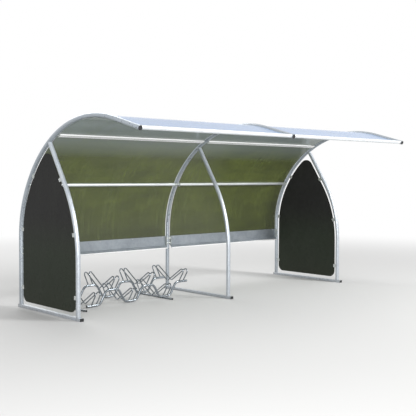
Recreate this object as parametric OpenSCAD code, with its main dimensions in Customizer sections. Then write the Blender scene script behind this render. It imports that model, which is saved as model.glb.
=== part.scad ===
// Two-bay bicycle shelter: three bent tube frames, clear curved sheets, dark end panels,
// and a free-standing rack of two wave tubes with bent rod cradles.
// X runs along the shelter, Y from the open front to the back wall, Z up from the ground.

/* [Shelter] */
// Distance between two frames
bay = 2150; // [1500:10:3000]
// Distance between the feet of the post and the hoop
foot_gap = 1140; // [900:10:1400]
// Outer diameter of the bent tubes
tube_d = 48; // [38:1:60]
// Wall of the bent tubes
tube_wall = 3; // [2:0.5:5]

/* [Base rail] */
// Height of the base rail
rail_h = 32; // [25:1:60]
// Width of the base rail
rail_w = 45; // [36:1:80]
// Wall of the base rail
rail_wall = 3; // [2:0.5:5]
// Length of the rail in front of the post's axis
rail_front = 62; // [40:1:160]
// Length of the rail behind the hoop's axis
rail_back = 32; // [30:1:120]
// Diameter of the anchor holes
anchor_d = 14; // [8:1:18]
// Distance of the anchor holes from the feet's axes
anchor_inset = 150; // [80:5:300]
// Thickness of the black end caps' heads
cap_t = 4; // [2:1:8]
// Length of the end caps' plugs inside the tubes
cap_plug = 16; // [8:1:30]

/* [Hoop] */
// Height at which the hoop's lower bend begins
hoop_rise = 790; // [600:10:900]
// Radius of the lower bend
hoop_low_r = 1115; // [900:5:1300]
// Angle of the lower bend
hoop_low_a = 25; // [15:1:35]
// Radius of the upper bend
hoop_top_r = 1415; // [1200:5:1600]
// Angle of the upper bend
hoop_top_a = 80; // [70:1:85]
// Straight length at the hoop's front end
hoop_tip = 418; // [300:1:600]

/* [Post] */
// Height at which the post's bend begins
post_rise = 590; // [400:10:800]
// Radius of the post's bend
post_r = 1450; // [1000:10:1800]
// Angle by which the post leans back above its bend
post_a = 33; // [25:1:38]

/* [Rails] */
// Diameter of the middle rail
mid_rail_d = 36; // [28:1:45]
// Wall of the middle rail
mid_rail_wall = 2.5; // [1.5:0.5:4]
// Place of the middle rail on the hoop, as an angle from upright
mid_rail_at = 30.5; // [27:0.5:45]
// Place of the upper rail on the hoop, as an angle from upright
upper_rail_at = 62; // [50:0.5:75]
// Height of the upper rail's section along the sheets
upper_rail_w = 44; // [36:1:70]
// Depth of the upper rail's section
upper_rail_t = 28; // [20:1:40]
// Diameter of the tube along the roof's front edge
edge_tube_d = 42; // [30:1:48]
// Distance of the front edge tube from the hoop's end
edge_tube_inset = 26; // [22:1:60]
// Top of the folded lower rail
lower_rail_top = 690; // [500:5:780]
// Height of the lower rail's upright web
lower_rail_web = 118; // [60:1:160]
// Length of the lower rail's slanted lip
lower_rail_lip = 52; // [20:1:80]
// Sheet metal thickness of the lower rail and the brackets' end plates
plate_t = 3; // [2:0.5:5]
// Diameter of the round stubs between a hoop and a rail
stub_d = 26; // [16:1:28]
// How far an end plate stands out around its rail
plate_over = 4; // [0:1:10]

/* [Sheets] */
// Thickness of the clear sheets
sheet_t = 6; // [3:0.5:8]
// Play of a sheet in the groove that holds it
groove_play = 0.5; // [0.2:0.1:1]
// Depth of the grooves that hold the sheets
groove = 12; // [6:1:15]
// Distance between a hoop's axis and the rails' ends
rail_end = 40; // [36:1:60]
// Thickness of the dark end panels
panel_t = 6; // [4:1:10]
// Gap between an end panel and the tubes around it
panel_gap = 26; // [15:1:50]
// Gap between an end panel's foot and the base rail
panel_foot_gap = 39; // [15:1:80]
// Radius of the end panels' lower corners
panel_r = 85; // [30:5:120]
// Radius of the end panels' top
panel_top_r = 120; // [30:5:200]

/* [Rack] */
// Distance between neighbouring places
place_pitch = 260; // [230:5:400]
// Left end of the wave tubes, measured from the left frame
rack_left = 477; // [440:1:600]
// Distance between the two wave tubes
wave_gap = 432; // [350:2:600]
// Front wave tube, measured back from the post's feet
rack_front = 553; // [500:1:600]
// Diameter of the wave tubes
wave_d = 28; // [20:1:34]
// Height of a high place above a low place
wave_rise = 158; // [130:1:200]
// Bending radius of the wave tubes
wave_r = 75; // [45:1:76]
// Wall of the wave tubes
wave_wall = 2.5; // [1.5:0.5:4]
// Diameter of the cradles' rods
rod_d = 14; // [10:1:18]
// Distance between the two rods of a cradle
rod_gap = 65; // [50:1:90]
// Height of a cradle's arches above the wave tubes' axes
cradle_h = 158; // [110:1:220]
// Height of a cradle's trough above the wave tubes' axes
trough_h = -2; // [-12:1:40]
// Angle by which a cradle's legs lean outwards
leg_lean = 34; // [20:1:45]
// Bending radius of a cradle's arches
arch_r = 30; // [20:1:45]
// Bending radius of a cradle's trough
trough_r = 42; // [30:1:90]
// Diameter of the rack's foot tubes
foot_d = 22; // [16:1:28]
// Wall of the rack's foot tubes
foot_wall = 2; // [1.5:0.5:3]
// Height of the wave tubes' undersides, where they lie in the foot tubes' saddles
foot_seat = 6; // [4:1:12]
// Length of the foot tubes in front of the front wave tube
foot_front = 185; // [60:5:230]
// Length of the foot tubes behind the rear wave tube
foot_back = 60; // [40:5:150]
// Distance of the left foot tube from the left frame
foot_left = 350; // [330:5:420]
// How far the right foot tube lies left of the fifth place
foot_right_shift = 32; // [0:1:40]

/* [Hidden] */

galvanised = "#aab2b8";
steel_dark = "#8f989e";
clear_green = "#b9cfc9";
smoke = "#2c2e2e";
black = "#151515";

tube_r = tube_d / 2;
edge_r = edge_tube_d / 2;
mid_r = mid_rail_d / 2;

// A path is a start [y, z, heading] and a list of [straight, radius, angle]. The heading is
// measured from upright, positive towards the front, and so is a bend's angle.
function after_straight(s, g) = [s[0] - g * sin(s[2]), s[1] + g * cos(s[2]), s[2]];
function bend_centre(s, r, a) = [s[0] - sign(a) * r * cos(s[2]), s[1] - sign(a) * r * sin(s[2])];
function after_bend(s, r, a) =
    let (c = bend_centre(s, r, a), h = s[2] + a)
    [c[0] + sign(a) * r * cos(h), c[1] + sign(a) * r * sin(h), h];
function after(s, g) = after_bend(after_straight(s, g[0]), g[1], g[2]);
function stations(s, path, i = 0) =
    i == len(path) ? [s] : concat([s], stations(after(s, path[i]), path, i + 1));

// Local axes at a station: X along the outward normal, Y along the path, Z along the shelter.
module at_station(s) {
    translate([0, s[0], s[1]])
        rotate([90, 0, 90])
            rotate([0, 0, s[2]])
                children();
}

// Sweeps a section, drawn with X outward and Y along the shelter, along a path. The second
// child is the slightly larger section of the short bead where a bend meets what is before it.
module swept(s, path) {
    at = stations(s, path);
    for (i = [0 : len(path) - 1]) {
        run = path[i][0];
        r = path[i][1];
        a = path[i][2];
        from = after_straight(at[i], run);
        if (i > 0)
            bead_at(at[i])
                children(1);
        if (run > 0)
            straight_at(at[i], i > 0 ? bead_gap : 0, run)
                children(0);
        if (a != 0)
            bend_at(from, r, a, i > 0 || run > 0 ? bead_gap : 0)
                children(0);
        if (run > 0 && a != 0)
            bead_at(from)
                children(1);
    }
}

module straight_at(s, start, end) {
    at_station(s)
        translate([0, end, 0])
            rotate([90, 0, 0])
                linear_extrude(end - start)
                    children();
}

module bead_at(s) {
    straight_at(after_straight(s, -bead_len / 2), 0, bead_len)
        children();
}

module bend_at(s, r, a, start) {
    c = bend_centre(s, r, a);
    late = start / r * 180 / PI;
    translate([0, c[0], c[1]])
        rotate([90, 0, 90])
            rotate([0, 0, a > 0 ? s[2] + late : s[2] + 180 + a])
                rotate_extrude(angle = abs(a) - late, $fn = r > 300 ? 240 : 72)
                    translate([r, 0])
                        children();
}

// Hoop, measured from its foot at y = 0, and the depth of the whole shelter
hoop_path = [[hoop_rise - rail_h, hoop_low_r, hoop_low_a], [0, hoop_top_r, hoop_top_a], [hoop_tip, 0, 0]];
tip_from_foot = stations([0, rail_h, 0], hoop_path)[3];
front_from_foot = tip_from_foot[0] - cap_t * sin(tip_from_foot[2]) + tube_r * cos(tip_from_foot[2]);
hoop_y = -(front_from_foot + rail_back + cap_t) / 2;
post_y = hoop_y - foot_gap;

hoop_start = [hoop_y, rail_h, 0];
hoop_at = stations(hoop_start, hoop_path);
hoop_end = hoop_at[3];
low_centre = bend_centre(hoop_at[0] + [0, hoop_rise - rail_h, 0], hoop_low_r, 1);
top_centre = bend_centre(hoop_at[1], hoop_top_r, 1);
function on_hoop(h) =
    [top_centre[0] + hoop_top_r * cos(h), top_centre[1] + hoop_top_r * sin(h), h];

// Post: its straight top runs on until it meets the hoop's axis
post_start = [post_y, rail_h, 0];
post_bend_end = after(post_start, [post_rise - rail_h, post_r, -post_a]);
post_dir = [sin(post_a), cos(post_a)];
post_to_centre = [post_bend_end[0], post_bend_end[1]] - top_centre;
post_reach = -post_to_centre * post_dir
    + sqrt((post_to_centre * post_dir) ^ 2 - post_to_centre * post_to_centre + hoop_top_r ^ 2);
post_path = [[post_rise - rail_h, post_r, -post_a], [post_reach, 0, 0]];
joint_at = after_straight(post_bend_end, post_reach);

edge_tube_at = after_straight(hoop_end, -edge_tube_inset);
mid_rail_n = -(sheet_t / 2 + mid_r);
upper_rail_n = -4;
lower_rail_y = hoop_y - sheet_t / 2;
rail_back_end = hoop_y + rail_back;
rail_front_end = post_y - rail_front;
rail_run = bay - 2 * rail_end;

sheet_lap = 50;
slot = sheet_t + 2 * groove_play;
plug_play = 0.2;

// Bead where two stretches of a tube or sheet meet: height, length, and the gap it bridges
bead = 0.15;
bead_len = 4;
bead_gap = 0.5;
edge_grip = 8;
web_angle = asin((upper_rail_w / 2 - groove) / hoop_top_r);
back_start = [hoop_y, lower_rail_top - sheet_lap, 0];
back_path = [[hoop_rise - lower_rail_top + sheet_lap, hoop_low_r, hoop_low_a],
    [0, hoop_top_r, upper_rail_at - web_angle - hoop_low_a]];
roof_path = [[0, hoop_top_r, hoop_low_a + hoop_top_a - upper_rail_at - web_angle],
    [hoop_tip - edge_tube_inset - edge_r + edge_grip, 0, 0]];

// Rack, measured from the left frame and the posts' feet. The rear wave tube runs on to the
// left foot tube, and both tubes lie on the right one under the fifth place.
place_half = 93;
rack_x = -bay + rack_left;
front_wave_y = post_y + rack_front;
rear_wave_y = front_wave_y + wave_gap;
low_z = wave_d / 2 + foot_seat;
foot_left_x = -bay + foot_left;
wave_over = 10;
foot_right_x = rack_x + place_half + 4 * place_pitch - foot_right_shift;
rear_reach = rack_left - foot_left + foot_d / 2 + wave_over;
foot_start = front_wave_y - foot_front;
foot_end = rear_wave_y + foot_back;

module disc(d) {
    circle(d = d, $fn = 48);
}

module ring(d, wall) {
    difference() {
        disc(d);
        disc(d - 2 * wall);
    }
}

module tube(s, path, d, wall) {
    swept(s, path) {
        ring(d, wall);
        ring(d + 2 * bead, wall + 2 * bead);
    }
}

module rod(s, path, d) {
    swept(s, path) {
        disc(d);
        disc(d + 2 * bead);
    }
}

// Box rail on the ground with two anchor holes through it
module base_rail(x) {
    run = rail_back_end - rail_front_end;
    color(galvanised)
        translate([x, 0, 0])
            difference() {
                translate([-rail_w / 2, rail_front_end, 0])
                    cube([rail_w, run, rail_h]);
                translate([-rail_w / 2 + rail_wall, rail_front_end - 1, rail_wall])
                    cube([rail_w - 2 * rail_wall, run + 2, rail_h - 2 * rail_wall]);
                for (y = [post_y + anchor_inset, hoop_y - anchor_inset])
                    translate([0, y, -1])
                        cylinder(d = anchor_d, h = rail_h + 2, $fn = 32);
            }
}

// Bent hoop that stands on the rail's back end and carries the roof's front edge
module rear_hoop(x) {
    color(galvanised)
        translate([x, 0, 0])
            tube(hoop_start, hoop_path, tube_d, tube_wall);
}

// Post with its top cut to the round of the hoop above it
module front_post(x) {
    color(galvanised)
        translate([x, 0, 0])
            difference() {
                tube(post_start, post_path, tube_d, tube_wall);
                rod(hoop_start, hoop_path, tube_d);
            }
}

// Plug for a round tube's end, with a chamfered head that stands out along Z
module round_cap(d, wall, head) {
    flat = head / 2;
    cylinder(d = d, h = head - flat, $fn = 48);
    translate([0, 0, head - flat])
        cylinder(d1 = d, d2 = d - 2 * flat, h = flat, $fn = 48);
    translate([0, 0, -cap_plug])
        cylinder(d = d - 2 * (wall + plug_play), h = cap_plug, $fn = 48);
}

// Black plugs in the hoop's open end and in both ends of the base rail
module frame_caps(x) {
    inset = rail_wall + plug_play;
    color(black)
        translate([x, 0, 0]) {
            at_station(hoop_end)
                rotate([-90, 0, 0])
                    round_cap(tube_d, tube_wall, cap_t);
            for (end = [[rail_front_end, 0], [rail_back_end, 1]])
                translate([0, end[0], 0])
                    mirror([0, end[1], 0]) {
                        translate([-rail_w / 2, -cap_t, 0])
                            cube([rail_w, cap_t, rail_h]);
                        translate([-rail_w / 2 + inset, 0, inset])
                            cube([rail_w - 2 * inset, cap_plug, rail_h - 2 * inset]);
                    }
        }
}

// Stubs and end plate between a hoop and a rail, on the side given by 1 or -1
module rail_stub(side, normal, along, plate_n, plate_w) {
    translate([normal, 0, 0])
        for (t = along)
            translate([0, t, side > 0 ? 0 : -rail_end + plate_t])
                cylinder(d = stub_d, h = rail_end - plate_t, $fn = 32);
    translate([normal - plate_n / 2, -plate_w / 2, side > 0 ? rail_end - plate_t : -rail_end])
        cube([plate_n, plate_w, plate_t]);
}

lower_stub_n = -12;
lower_stubs = [-30, 30];
lower_plate_n = 44;

module rail_brackets(x, sides) {
    mid_plate = mid_rail_d + 2 * plate_over;
    color(steel_dark)
        translate([x, 0, 0])
            difference() {
                for (side = sides) {
                    at_station(on_hoop(mid_rail_at))
                        rail_stub(side, mid_rail_n, [0], mid_plate, mid_plate);
                    at_station(on_hoop(upper_rail_at))
                        rail_stub(side, upper_rail_n, [0], upper_rail_t + 2 * plate_over,
                            upper_rail_w + 2 * plate_over);
                    at_station([hoop_y, lower_rail_top - lower_rail_web / 2, 0])
                        rail_stub(side, lower_stub_n, lower_stubs, lower_plate_n, lower_rail_web);
                }
                rod(hoop_start, hoop_path, tube_d);
                rod(post_start, post_path, tube_d);
            }
}

// Tube along the roof's front edge, cut to the round of the hoops at both ends, with a slot
// for the roof sheet's edge
module front_edge_tube(x) {
    color(galvanised)
        difference() {
            translate([x, edge_tube_at[0], edge_tube_at[1]])
                rotate([90, 0, 90])
                    linear_extrude(bay)
                        ring(edge_tube_d, tube_wall);
            translate([x + rail_end - 1, 0, 0])
                at_station(edge_tube_at)
                    translate([-slot / 2, -edge_r - 1, 0])
                        cube([slot, edge_r + 1, rail_run + 2]);
            for (end = [x, x + bay])
                translate([end, 0, 0])
                    rod(hoop_start, hoop_path, tube_d);
        }
}

// Hollow rail with a groove above and below for the sheets and a shallow groove on its inner face
skin = 2;
screw_groove = 6;
screw_groove_depth = 4;

module upper_rail(x) {
    inner = upper_rail_n - upper_rail_t / 2;
    groove_end = upper_rail_w / 2 - groove;
    core = upper_rail_t - screw_groove_depth - 2 * skin;
    color(galvanised)
        translate([x + rail_end, 0, 0])
            at_station(on_hoop(upper_rail_at))
                linear_extrude(rail_run)
                    difference() {
                        translate([inner, -upper_rail_w / 2])
                            square([upper_rail_t, upper_rail_w]);
                        for (t = [-upper_rail_w / 2 - 1, groove_end])
                            translate([-slot / 2, t])
                                square([slot, groove + 1]);
                        translate([inner - 1, -screw_groove / 2])
                            square([1 + screw_groove_depth, screw_groove]);
                        translate([inner + screw_groove_depth + skin, -groove_end + skin])
                            square([core, 2 * (groove_end - skin)]);
                        for (t = [groove_end, -upper_rail_w / 2 + skin])
                            translate([inner + skin, t])
                                square([-slot / 2 - 2 * skin - inner, groove - skin]);
                    }
}

// Round rail inside the back wall
module mid_rail(x) {
    color(galvanised)
        translate([x + rail_end, 0, 0])
            at_station(on_hoop(mid_rail_at))
                translate([mid_rail_n, 0, 0])
                    difference() {
                        cylinder(d = mid_rail_d, h = rail_run, $fn = 48);
                        translate([0, 0, -1])
                            cylinder(d = mid_rail_d - 2 * mid_rail_wall, h = rail_run + 2, $fn = 48);
                    }
}

// Folded plate under the back wall: upright web with a slanted lip towards the inside
module lower_rail(x) {
    foot = lower_rail_top - lower_rail_web;
    lip = lower_rail_lip * sin(45);
    color(galvanised)
        translate([x + rail_end, lower_rail_y, 0])
            rotate([90, 0, 90])
                linear_extrude(rail_run)
                    polygon([[0, lower_rail_top], [0, foot], [-lip, foot - lip],
                        [-lip - plate_t * sin(45), foot - lip + plate_t * cos(45)],
                        [-plate_t, foot + plate_t * tan(22.5)], [-plate_t, lower_rail_top]]);
}

module sheet(s, path) {
    swept(s, path) {
        sheet_section(0);
        sheet_section(bead / 2);
    }
}

module sheet_section(more) {
    translate([-sheet_t / 2 - more, rail_end - more])
        square([sheet_t + 2 * more, rail_run + 2 * more]);
}

// Curved clear sheet from the lower rail up into the upper rail's groove
module back_sheet(x) {
    color(clear_green, 0.5)
        translate([x, 0, 0])
            sheet(back_start, back_path);
}

// Curved clear sheet from the upper rail over the crest to the front edge tube
module roof_sheet(x) {
    color(clear_green, 0.5)
        translate([x, 0, 0])
            sheet(on_hoop(upper_rail_at + web_angle), roof_path);
}

// Inner outline of a frame, set in from the tubes' axes
function arc_points(c, r, from, to, steps) =
    [for (i = [0 : steps]) let (h = from + (to - from) * i / steps)
        [c[0] + r * cos(h), c[1] + r * sin(h)]];
post_centre = bend_centre([post_y, post_rise, 0], post_r, -1);

far = 2000;

module frame_outline(inset) {
    top_h = joint_at[1];
    joint_h = asin((top_h - top_centre[1]) / hoop_top_r);
    intersection() {
        polygon(concat([[post_y - far, 0], [hoop_y - inset, 0]],
            arc_points(low_centre, hoop_low_r - inset, 0, hoop_low_a, 8),
            arc_points(top_centre, hoop_top_r - inset, hoop_low_a, joint_h + 20, 20)));
        polygon(concat([[hoop_y + far, 0], [post_y + inset, 0]],
            arc_points(post_centre, -(post_r - inset), 0, -post_a, 14),
            [[post_bend_end[0] + 2 * post_reach * post_dir[0] + inset * post_dir[1],
                post_bend_end[1] + 2 * post_reach * post_dir[1] - inset * post_dir[0]],
                [hoop_y + far, post_bend_end[1] + 2 * post_reach]]));
        translate([post_y - far, rail_h + panel_foot_gap])
            square(3 * far);
    }
}

// Dark panel that fills the frame at an end of the shelter
module end_panel(x) {
    color(smoke)
        translate([x - panel_t / 2, 0, 0])
            rotate([90, 0, 90])
                linear_extrude(panel_t)
                    intersection() {
                        rounded_outline(panel_r);
                        union() {
                            rounded_outline(panel_top_r);
                            translate([post_y - far, 0])
                                square([3 * far, clamp_mid_z]);
                        }
                    }
}

module rounded_outline(r) {
    offset(r = r, $fn = 48)
        offset(delta = -r)
            frame_outline(tube_r + panel_gap);
}

// Clamps: a tongue from the tube, split into two jaws that hold the panel's edge
clamp_len = 42;
clamp_jaw = 5;
clamp_bite = 16;
clamp_low_z = 228;
clamp_mid_z = 882;
clamp_hoop_at = 36;
clamp_post_at = 97;
clamp_corner = 6;

module panel_clamp(s, side) {
    edge = tube_r + panel_gap;
    depth = edge + clamp_bite;
    at_station(s)
        mirror([side > 0 ? 1 : 0, 0, 0])
            difference() {
                translate([0, 0, -panel_t / 2 - clamp_jaw])
                    linear_extrude(panel_t + 2 * clamp_jaw)
                        polygon([[0, -clamp_len / 2], [depth - clamp_corner, -clamp_len / 2],
                            [depth, -clamp_len / 2 + clamp_corner], [depth, clamp_len / 2 - clamp_corner],
                            [depth - clamp_corner, clamp_len / 2], [0, clamp_len / 2]]);
                translate([edge, -clamp_len, -panel_t / 2])
                    cube([depth, 2 * clamp_len, panel_t]);
            }
}

// Stations on the hoop and on the post at a given height
function hoop_at_height(z) = z < hoop_rise ? [hoop_y, z, 0]
    : let (h = asin((z - hoop_rise) / hoop_low_r)) [low_centre[0] + hoop_low_r * cos(h), z, h];
function post_at_height(z) = z < post_rise ? [post_y, z, 0]
    : let (h = asin((z - post_rise) / post_r)) [post_centre[0] - post_r * cos(h), z, -h];

module panel_clamps(x) {
    color(steel_dark)
        translate([x, 0, 0])
            difference() {
                union() {
                    panel_clamp(hoop_at_height(clamp_low_z), 1);
                    panel_clamp(hoop_at_height(clamp_mid_z), 1);
                    panel_clamp(on_hoop(clamp_hoop_at), 1);
                    panel_clamp(post_at_height(clamp_low_z), -1);
                    panel_clamp(post_at_height(clamp_mid_z), -1);
                    panel_clamp(after_straight(post_bend_end, clamp_post_at), -1);
                }
                rod(hoop_start, hoop_path, tube_d);
                rod(post_start, post_path, tube_d);
            }
}

// Rack: a wave tube runs low and high by turns, with a place on each flat stretch
wave_bend = 60;
wave_slope = (wave_rise - 2 * wave_r * (1 - cos(wave_bend))) / sin(wave_bend);
wave_step = 2 * wave_r * sin(wave_bend) + wave_slope * cos(wave_bend);
wave_flat = place_pitch - wave_step;
wave_end = place_half + wave_flat / 2;
places = 6;
function place_x(i) = rack_x + place_half + i * place_pitch;
function place_z(i) = low_z + (i % 2) * wave_rise;
function wave_path(left) = concat(
    [for (i = [0 : places - 2], half = [0, 1])
        let (turn = (i + half) % 2 == 0 ? -wave_bend : wave_bend)
        half == 1 ? [wave_slope, wave_r, turn] : [i == 0 ? wave_end + left : wave_flat, wave_r, turn]],
    [[wave_end, 0, 0]]);

// Wave tube, which starts the given length to the left of the rack's own end
module wave(y, left) {
    color(galvanised)
        translate([rack_x - left, y, low_z])
            rotate([0, 0, 90])
                tube([0, 0, 90], wave_path(left), wave_d, wave_wall);
}

// Black plugs in both ends of both wave tubes and of both foot tubes
module rack_caps() {
    right = rack_x + (places - 1) * place_pitch + 2 * place_half;
    color(black) {
        for (end = [[rack_x, front_wave_y, 0, -90], [right, front_wave_y, wave_rise, 90],
                [rack_x - rear_reach, rear_wave_y, 0, -90], [right, rear_wave_y, wave_rise, 90]])
            translate([end[0], end[1], low_z + end[2]])
                rotate([0, end[3], 0])
                    round_cap(wave_d, wave_wall, cap_t / 2);
        for (x = [foot_left_x, foot_right_x], end = [[foot_start, 90], [foot_end, -90]])
            translate([x, end[0], foot_d / 2])
                rotate([end[1], 0, 0])
                    round_cap(foot_d, foot_wall, cap_t / 2);
    }
}

// Tube on the ground with saddles cut into its top, in which the wave tubes lie
module rack_foot(x, saddles) {
    color(galvanised)
        difference() {
            translate([x, foot_end, foot_d / 2])
                rotate([90, 0, 0])
                    linear_extrude(foot_end - foot_start)
                        ring(foot_d, foot_wall);
            for (y = saddles)
                translate([x - foot_d, y, low_z])
                    rotate([0, 90, 0])
                        cylinder(d = wave_d, h = 2 * foot_d, $fn = 48);
        }
}

// Cradle rod: up from the front wave, over an arch, down into the trough and up again.
// Each arm touches its arch's and the trough's bending circles.
leg = (cradle_h - arch_r * (1 + sin(leg_lean))) / cos(leg_lean);
arch_centre = [leg * sin(leg_lean) - arch_r * cos(leg_lean) + wave_gap / 2, cradle_h - arch_r];
trough_centre = [0, trough_h + trough_r];
arm_line = [arch_centre[0], trough_centre[1] - arch_centre[1]];
arm_fall = asin((arch_r + trough_r) / norm(arm_line)) - atan2(arm_line[1], arm_line[0]);
arm = sqrt(norm(arm_line) ^ 2 - (arch_r + trough_r) ^ 2);
arch_turn = -(leg_lean + 90 + arm_fall);
rod_path = [[leg, arch_r, arch_turn], [arm, trough_r, 2 * arm_fall], [arm, arch_r, arch_turn], [leg, 0, 0]];

module rack_cradle(i) {
    color(galvanised)
        translate([place_x(i), 0, 0])
            difference() {
                for (side = [-1, 1])
                    translate([side * rod_gap / 2, 0, 0])
                        rod([front_wave_y, place_z(i), leg_lean], rod_path, rod_d);
                for (y = [front_wave_y, rear_wave_y])
                    translate([-wave_flat / 2, y, place_z(i)])
                        rotate([0, 90, 0])
                            cylinder(d = wave_d, h = wave_flat, $fn = 48);
            }
}

base_rail(-bay);  // base_rail_left
base_rail(0);  // base_rail_middle
base_rail(bay);  // base_rail_right
rear_hoop(-bay);  // rear_hoop_left
rear_hoop(0);  // rear_hoop_middle
rear_hoop(bay);  // rear_hoop_right
front_post(-bay);  // front_post_left
front_post(0);  // front_post_middle
front_post(bay);  // front_post_right
frame_caps(-bay);  // frame_caps_left
frame_caps(0);  // frame_caps_middle
frame_caps(bay);  // frame_caps_right
rail_brackets(-bay, [1]);  // rail_brackets_left
rail_brackets(0, [-1, 1]);  // rail_brackets_middle
rail_brackets(bay, [-1]);  // rail_brackets_right
front_edge_tube(-bay);  // front_edge_tube_left
front_edge_tube(0);  // front_edge_tube_right
upper_rail(-bay);  // upper_rail_left
upper_rail(0);  // upper_rail_right
mid_rail(-bay);  // mid_rail_left
mid_rail(0);  // mid_rail_right
lower_rail(-bay);  // lower_rail_left
lower_rail(0);  // lower_rail_right
back_sheet(-bay);  // back_sheet_left
back_sheet(0);  // back_sheet_right
roof_sheet(-bay);  // roof_sheet_left
roof_sheet(0);  // roof_sheet_right
end_panel(-bay);  // end_panel_left
end_panel(bay);  // end_panel_right
panel_clamps(-bay);  // panel_clamps_left
panel_clamps(bay);  // panel_clamps_right
wave(front_wave_y, 0);  // rack_front_wave
wave(rear_wave_y, rear_reach);  // rack_rear_wave
rack_foot(foot_left_x, [rear_wave_y]);  // rack_foot_left
rack_foot(foot_right_x, [front_wave_y, rear_wave_y]);  // rack_foot_right
rack_caps();
rack_cradle(0);  // rack_cradle_1
rack_cradle(1);  // rack_cradle_2
rack_cradle(2);  // rack_cradle_3
rack_cradle(3);  // rack_cradle_4
rack_cradle(4);  // rack_cradle_5
rack_cradle(5);  // rack_cradle_6
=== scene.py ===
import math

import bmesh
import bpy
from mathutils import Matrix, Vector


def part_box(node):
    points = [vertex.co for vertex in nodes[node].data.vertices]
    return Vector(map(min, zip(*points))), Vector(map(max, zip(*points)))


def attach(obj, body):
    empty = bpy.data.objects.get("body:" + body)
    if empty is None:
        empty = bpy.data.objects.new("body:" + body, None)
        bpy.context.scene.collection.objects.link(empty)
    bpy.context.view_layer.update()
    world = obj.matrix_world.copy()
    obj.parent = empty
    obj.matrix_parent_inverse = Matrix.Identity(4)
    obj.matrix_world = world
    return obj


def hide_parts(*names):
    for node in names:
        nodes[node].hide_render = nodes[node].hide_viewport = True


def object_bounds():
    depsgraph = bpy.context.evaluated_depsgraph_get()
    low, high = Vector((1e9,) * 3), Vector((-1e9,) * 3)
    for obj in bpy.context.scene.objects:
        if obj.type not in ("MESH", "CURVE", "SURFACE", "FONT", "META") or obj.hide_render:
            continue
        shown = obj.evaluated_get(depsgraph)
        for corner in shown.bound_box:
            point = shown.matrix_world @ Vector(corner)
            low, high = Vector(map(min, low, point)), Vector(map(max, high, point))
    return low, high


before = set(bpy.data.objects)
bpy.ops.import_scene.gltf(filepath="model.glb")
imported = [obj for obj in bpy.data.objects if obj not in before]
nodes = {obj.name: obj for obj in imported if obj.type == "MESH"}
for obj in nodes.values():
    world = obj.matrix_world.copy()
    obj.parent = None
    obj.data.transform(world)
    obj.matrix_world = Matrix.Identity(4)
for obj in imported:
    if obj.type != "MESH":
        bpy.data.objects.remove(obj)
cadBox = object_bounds()
print("frame loaded with", len(nodes), "nodes")

# where the photo was taken from, metres and degrees
cameraView = {"place": (-6.5237, -6.6506, 1.4920), "yaw": 46.77, "pitch": -2.45, "roll": -0.24,
              "lens": 66.53, "sensor": 36.0, "clipEnd": 200}


def makeCamera(view):
    data = bpy.data.cameras.new("photoCamera")
    data.sensor_fit = "HORIZONTAL"
    data.sensor_width = view["sensor"]
    data.lens = view["lens"]
    data.clip_end = view["clipEnd"]
    camera = bpy.data.objects.new("photoCamera", data)
    bpy.context.scene.collection.objects.link(camera)
    camera.matrix_world = (
        Matrix.Translation(view["place"])
        @ Matrix.Rotation(math.radians(view["yaw"] - 90), 4, "Z")
        @ Matrix.Rotation(math.radians(90 + view["pitch"]), 4, "X")
        @ Matrix.Rotation(math.radians(-view["roll"]), 4, "Z")
    )
    bpy.context.scene.camera = camera


makeCamera(cameraView)
print("camera placed")


# helpers for node trees
def plug(tree, sockets, values):
    for name, value in values.items():
        if isinstance(value, bpy.types.NodeSocket):
            tree.links.new(value, sockets[name])
        else:
            sockets[name].default_value = value


def addNode(tree, kind, inputs=None, **settings):
    node = tree.nodes.new(kind)
    for name, value in settings.items():
        setattr(node, name, value)
    plug(tree, node.inputs, inputs or {})
    return node


def objectCoords(tree):
    return addNode(tree, "ShaderNodeTexCoord").outputs["Object"]


def doMath(tree, operation, a, b=0.0, c=0.0, clamp=False):
    node = addNode(tree, "ShaderNodeMath", {0: a, 1: b, 2: c}, operation=operation, use_clamp=clamp)
    return node.outputs[0]


def vectorMath(tree, operation, inputs, output="Vector"):
    return addNode(tree, "ShaderNodeVectorMath", inputs, operation=operation).outputs[output]


def remap(tree, value, fromMin, fromMax, toMin=0.0, toMax=1.0):
    node = addNode(tree, "ShaderNodeMapRange", {
        "Value": value, "From Min": fromMin, "From Max": fromMax, "To Min": toMin, "To Max": toMax})
    return node.outputs["Result"]


def axes(tree, vector):
    return addNode(tree, "ShaderNodeSeparateXYZ", {"Vector": vector}).outputs


def mixColour(tree, factor, a, b, blend="MIX"):
    node = addNode(tree, "ShaderNodeMix", {0: factor, 6: a, 7: b}, data_type="RGBA", blend_type=blend)
    return node.outputs[2]


def stretched(tree, vector, scale):
    return addNode(tree, "ShaderNodeMapping", {"Vector": vector, "Scale": scale}).outputs["Vector"]


def grey(tree, value):
    node = addNode(tree, "ShaderNodeCombineColor", {"Red": value, "Green": value, "Blue": value})
    return node.outputs["Color"]


def noise(tree, vector, scale, detail=4.0, roughness=0.5, output="Fac"):
    node = addNode(tree, "ShaderNodeTexNoise", {
        "Vector": vector, "Scale": scale, "Detail": detail, "Roughness": roughness})
    return node.outputs[output]


# lets the camera, mirrors and clear sheets see something that gives no extra light
def seenDirectly(tree):
    rays = addNode(tree, "ShaderNodeLightPath").outputs
    twoKinds = doMath(tree, "ADD", rays["Is Camera Ray"], rays["Is Glossy Ray"])
    return doMath(tree, "ADD", twoKinds, rays["Is Transmission Ray"], clamp=True)


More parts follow.
